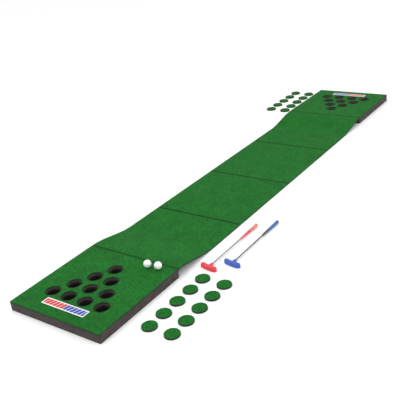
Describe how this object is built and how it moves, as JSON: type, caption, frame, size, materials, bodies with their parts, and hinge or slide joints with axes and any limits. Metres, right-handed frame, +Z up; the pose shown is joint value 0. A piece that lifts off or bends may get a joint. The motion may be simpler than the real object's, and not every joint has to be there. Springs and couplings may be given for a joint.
{
  "type": "practice putting mat",
  "caption": "Long folding strip of green turf with a raised hole board at each end, loose turf hole covers, white balls and short two-way putters.",
  "frame": {"origin": "floor level under the middle seam, on the hinge tape's underside at the mat's centre line", "axes": "+X along the mat from the near board to the far board, +Y across the mat, +Z up"},
  "size_m": [3.6789, 1.1967, 0.0956],
  "materials": {
    "turf": "short green artificial turf pile",
    "backing": "thin dark foam rubber sheet",
    "foam_core": "dark grey-brown closed-cell foam board",
    "base_sheet": "thin black sheet closing the holes underneath",
    "hinge_tape": "woven hinge tape",
    "label": "white vinyl with plain red and blue bars",
    "hole_cover": "turf disc on dark foam",
    "ball": "white dimpled golf ball",
    "ferrule": "grey moulded ferrule",
    "grip_cap": "greyish soft cap",
    "red_head": "red soft rubberised plastic",
    "blue_head": "blue soft rubberised plastic",
    "red_shaft": "bright steel tube",
    "blue_shaft": "dark grey steel tube",
    "red_grip": "pinkish red ribbed grip",
    "blue_grip": "dark blue ribbed grip"
  },
  "bodies": {
    "near_board": {"near_base_sheet": "base_sheet", "near_foam_core": "foam_core", "near_board_turf": "turf", "near_edge_tape": "hinge_tape", "near_label": "label"},
    "near_ramp": {"near_ramp_turf": "turf", "near_ramp_backing": "backing"},
    "near_run": {"near_run_turf": "turf", "near_run_backing": "backing", "near_seam_tape": "hinge_tape"},
    "near_middle": {"near_middle_turf": "turf", "near_middle_backing": "backing", "centre_tape": "hinge_tape"},
    "far_middle": {"far_middle_turf": "turf", "far_middle_backing": "backing", "far_seam_tape": "hinge_tape"},
    "far_run": {"far_run_turf": "turf", "far_run_backing": "backing"},
    "far_ramp": {"far_ramp_turf": "turf", "far_ramp_backing": "backing"},
    "far_board": {"far_base_sheet": "base_sheet", "far_foam_core": "foam_core", "far_board_turf": "turf", "far_edge_tape": "hinge_tape", "far_label": "label"},
    "near_cover_1": {"near_cover_1": "hole_cover"},
    "near_cover_2": {"near_cover_2": "hole_cover"},
    "near_cover_3": {"near_cover_3": "hole_cover"},
    "near_cover_4": {"near_cover_4": "hole_cover"},
    "near_cover_5": {"near_cover_5": "hole_cover"},
    "near_cover_6": {"near_cover_6": "hole_cover"},
    "near_cover_7": {"near_cover_7": "hole_cover"},
    "near_cover_8": {"near_cover_8": "hole_cover"},
    "near_cover_9": {"near_cover_9": "hole_cover"},
    "near_cover_10": {"near_cover_10": "hole_cover"},
    "far_cover_1": {"far_cover_1": "hole_cover"},
    "far_cover_2": {"far_cover_2": "hole_cover"},
    "far_cover_3": {"far_cover_3": "hole_cover"},
    "far_cover_4": {"far_cover_4": "hole_cover"},
    "far_cover_5": {"far_cover_5": "hole_cover"},
    "far_cover_6": {"far_cover_6": "hole_cover"},
    "far_cover_7": {"far_cover_7": "hole_cover"},
    "far_cover_8": {"far_cover_8": "hole_cover"},
    "far_cover_9": {"far_cover_9": "hole_cover"},
    "far_cover_10": {"far_cover_10": "hole_cover"},
    "ball_1": {"ball_1": "ball"},
    "ball_2": {"ball_2": "ball"},
    "red_putter": {"red_putter_head": "red_head", "red_putter_shaft": "red_shaft", "red_putter_ferrule": "ferrule", "red_putter_grip": "red_grip", "red_putter_grip_cap": "grip_cap"},
    "blue_putter": {"blue_putter_head": "blue_head", "blue_putter_shaft": "blue_shaft", "blue_putter_ferrule": "ferrule", "blue_putter_grip": "blue_grip", "blue_putter_grip_cap": "grip_cap"}
  },
  "joints": [
    {"name": "near_edge_fold", "type": "hinge", "parent": "near_board", "child": "near_ramp", "pos_m": [-1.21717, 0, 0.0551], "axis": [0, -1, 0], "range_deg": [0, 187.44]},
    {"name": "near_ramp_bend", "type": "hinge", "parent": "near_ramp", "child": "near_run", "pos_m": [-0.88637, 0, 0], "axis": [0, -1, 0], "range_deg": [-7.44, 0]},
    {"name": "near_seam_fold", "type": "hinge", "parent": "near_run", "child": "near_middle", "pos_m": [-0.61, 0, -0.0025], "axis": [0, -1, 0], "range_deg": [-180, 0]},
    {"name": "centre_fold", "type": "hinge", "parent": "near_middle", "child": "far_middle", "pos_m": [0, 0, 0.0118], "axis": [0, -1, 0], "range_deg": [0, 180]},
    {"name": "far_seam_fold", "type": "hinge", "parent": "far_middle", "child": "far_run", "pos_m": [0.61, 0, -0.0025], "axis": [0, -1, 0], "range_deg": [-180, 0]},
    {"name": "far_ramp_bend", "type": "hinge", "parent": "far_run", "child": "far_ramp", "pos_m": [0.88637, 0, 0], "axis": [0, -1, 0], "range_deg": [-7.44, 0]},
    {"name": "far_edge_fold", "type": "hinge", "parent": "far_ramp", "child": "far_board", "pos_m": [1.21717, 0, 0.0551], "axis": [0, -1, 0], "range_deg": [0, 187.44]},
    {"name": "ball_1_pick_up", "type": "hinge", "parent": "near_board", "child": "ball_1", "pos_m": [-1.30167, -0.24817, 0.04793], "axis": [0.9673, -0.2536, 0], "range_deg": [0, 180]},
    {"name": "ball_2_pick_up", "type": "hinge", "parent": "near_board", "child": "ball_2", "pos_m": [-1.26567, -0.27967, 0.04793], "axis": [1, 0, 0], "range_deg": [0, 180]},
    {"name": "near_cover_1_lift", "type": "slide", "parent": "near_board", "child": "near_cover_1", "axis": [0, 0, 1], "range_m": [0, 0.1]},
    {"name": "near_cover_2_lift", "type": "slide", "parent": "near_board", "child": "near_cover_2", "axis": [0, 0, 1], "range_m": [0, 0.1]},
    {"name": "near_cover_3_lift", "type": "slide", "parent": "near_board", "child": "near_cover_3", "axis": [0, 0, 1], "range_m": [0, 0.1]},
    {"name": "near_cover_4_lift", "type": "slide", "parent": "near_board", "child": "near_cover_4", "axis": [0, 0, 1], "range_m": [0, 0.1]},
    {"name": "near_cover_5_lift", "type": "slide", "parent": "near_board", "child": "near_cover_5", "axis": [0, 0, 1], "range_m": [0, 0.1]},
    {"name": "near_cover_6_lift", "type": "slide", "parent": "near_board", "child": "near_cover_6", "axis": [0, 0, 1], "range_m": [0, 0.1]},
    {"name": "near_cover_7_lift", "type": "slide", "parent": "near_board", "child": "near_cover_7", "axis": [0, 0, 1], "range_m": [0, 0.1]},
    {"name": "near_cover_8_lift", "type": "slide", "parent": "near_board", "child": "near_cover_8", "axis": [0, 0, 1], "range_m": [0, 0.1]},
    {"name": "near_cover_9_lift", "type": "slide", "parent": "near_board", "child": "near_cover_9", "axis": [0, 0, 1], "range_m": [0, 0.1]},
    {"name": "near_cover_10_lift", "type": "slide", "parent": "near_board", "child": "near_cover_10", "axis": [0, 0, 1], "range_m": [0, 0.1]},
    {"name": "far_cover_1_lift", "type": "slide", "parent": "near_board", "child": "far_cover_1", "axis": [0, 0, 1], "range_m": [0, 0.1]},
    {"name": "far_cover_2_lift", "type": "slide", "parent": "near_board", "child": "far_cover_2", "axis": [0, 0, 1], "range_m": [0, 0.1]},
    {"name": "far_cover_3_lift", "type": "slide", "parent": "near_board", "child": "far_cover_3", "axis": [0, 0, 1], "range_m": [0, 0.1]},
    {"name": "far_cover_4_lift", "type": "slide", "parent": "near_board", "child": "far_cover_4", "axis": [0, 0, 1], "range_m": [0, 0.1]},
    {"name": "far_cover_5_lift", "type": "slide", "parent": "near_board", "child": "far_cover_5", "axis": [0, 0, 1], "range_m": [0, 0.1]},
    {"name": "far_cover_6_lift", "type": "slide", "parent": "near_board", "child": "far_cover_6", "axis": [0, 0, 1], "range_m": [0, 0.1]},
    {"name": "far_cover_7_lift", "type": "slide", "parent": "near_board", "child": "far_cover_7", "axis": [0, 0, 1], "range_m": [0, 0.1]},
    {"name": "far_cover_8_lift", "type": "slide", "parent": "near_board", "child": "far_cover_8", "axis": [0, 0, 1], "range_m": [0, 0.1]},
    {"name": "far_cover_9_lift", "type": "slide", "parent": "near_board", "child": "far_cover_9", "axis": [0, 0, 1], "range_m": [0, 0.1]},
    {"name": "far_cover_10_lift", "type": "slide", "parent": "near_board", "child": "far_cover_10", "axis": [0, 0, 1], "range_m": [0, 0.1]},
    {"name": "red_putter_lift", "type": "slide", "parent": "near_board", "child": "red_putter", "axis": [0, 0, 1], "range_m": [0, 0.15]},
    {"name": "blue_putter_lift", "type": "slide", "parent": "near_board", "child": "blue_putter", "axis": [0, 0, 1], "range_m": [0, 0.15]}
  ],
  "couplings": [
    {"joint": "near_ramp_bend", "follows": "near_edge_fold", "ratio": -0.03969},
    {"joint": "near_seam_fold", "follows": "near_edge_fold", "ratio": -0.9603},
    {"joint": "centre_fold", "follows": "near_edge_fold", "ratio": 0.9603},
    {"joint": "far_seam_fold", "follows": "near_edge_fold", "ratio": -0.9603},
    {"joint": "far_ramp_bend", "follows": "near_edge_fold", "ratio": -0.03969},
    {"joint": "far_edge_fold", "follows": "near_edge_fold", "ratio": 1},
    {"joint": "ball_1_pick_up", "follows": "near_edge_fold", "ratio": 0.96},
    {"joint": "ball_2_pick_up", "follows": "near_edge_fold", "ratio": 0.96}
  ]
}
